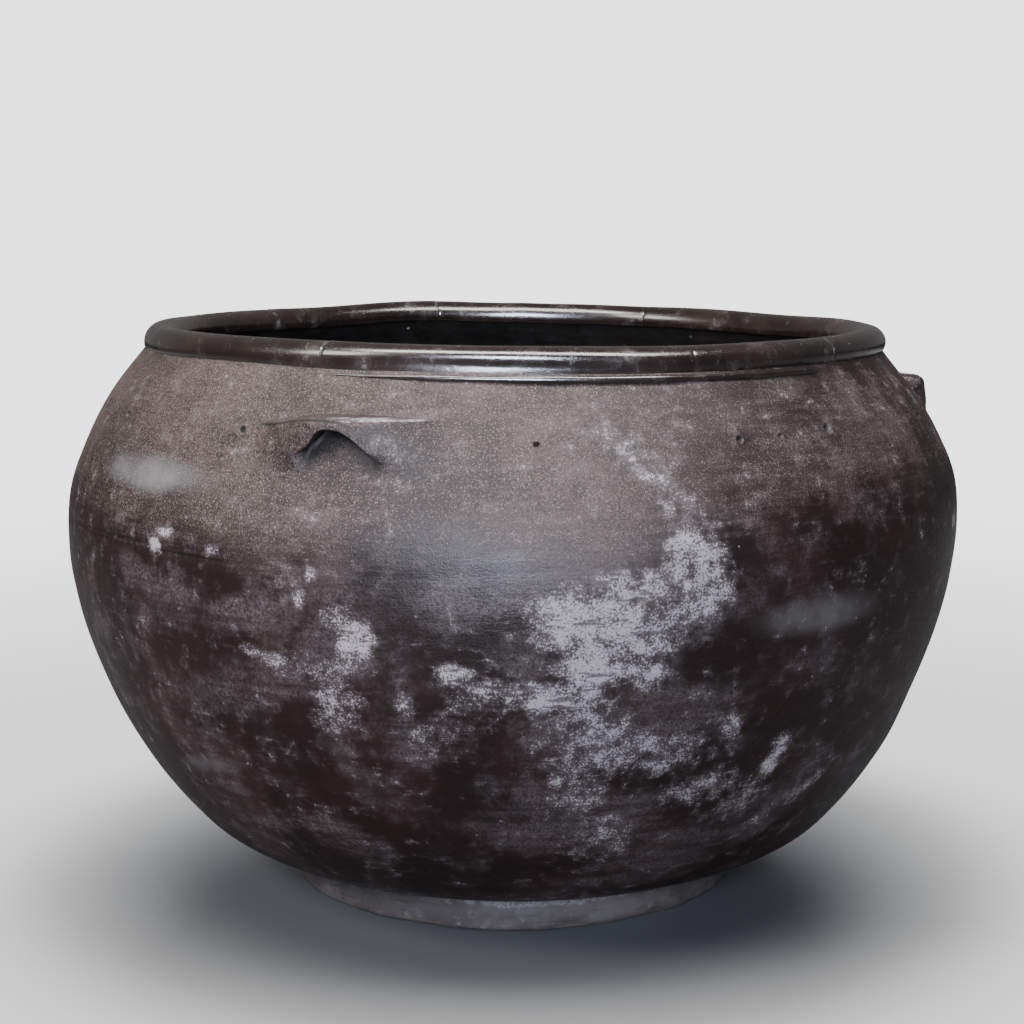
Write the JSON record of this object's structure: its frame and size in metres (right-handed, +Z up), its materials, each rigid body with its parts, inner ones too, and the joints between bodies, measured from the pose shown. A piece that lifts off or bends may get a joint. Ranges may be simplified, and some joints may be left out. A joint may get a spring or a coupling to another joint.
{
  "type": "large clay pot",
  "caption": "Wide round-bellied black clay pot with a rolled coil rim, finger-hollow lugs on the shoulder and a low foot ring.",
  "frame": {"origin": "centre of the foot's flat underside, on the ground", "axes": "+Z up along the pot's axis, -Y towards the front, +X to the right as seen from the front"},
  "size_m": [0.8428, 0.8428, 0.5312],
  "materials": {
    "body_clay": "burnished, dusty and mottled",
    "foot_clay": "matt and worn",
    "rim_clay": "polished"
  },
  "bodies": {
    "root": {"foot_ring": "foot_clay", "base_slab": "foot_clay", "lower_bowl_wall": "body_clay", "lower_belly_wall": "body_clay", "belly_wall": "body_clay", "shoulder_wall": "body_clay", "neck_wall": "body_clay", "neck_bead": "rim_clay", "rim_coil_1": "rim_clay", "rim_coil_2": "rim_clay", "rim_coil_3": "rim_clay", "rim_coil_4": "rim_clay", "rim_coil_5": "rim_clay", "rim_coil_6": "rim_clay", "lug_front_left": "body_clay", "lug_right": "body_clay", "lug_back_left": "body_clay"}
  },
  "joints": []
}
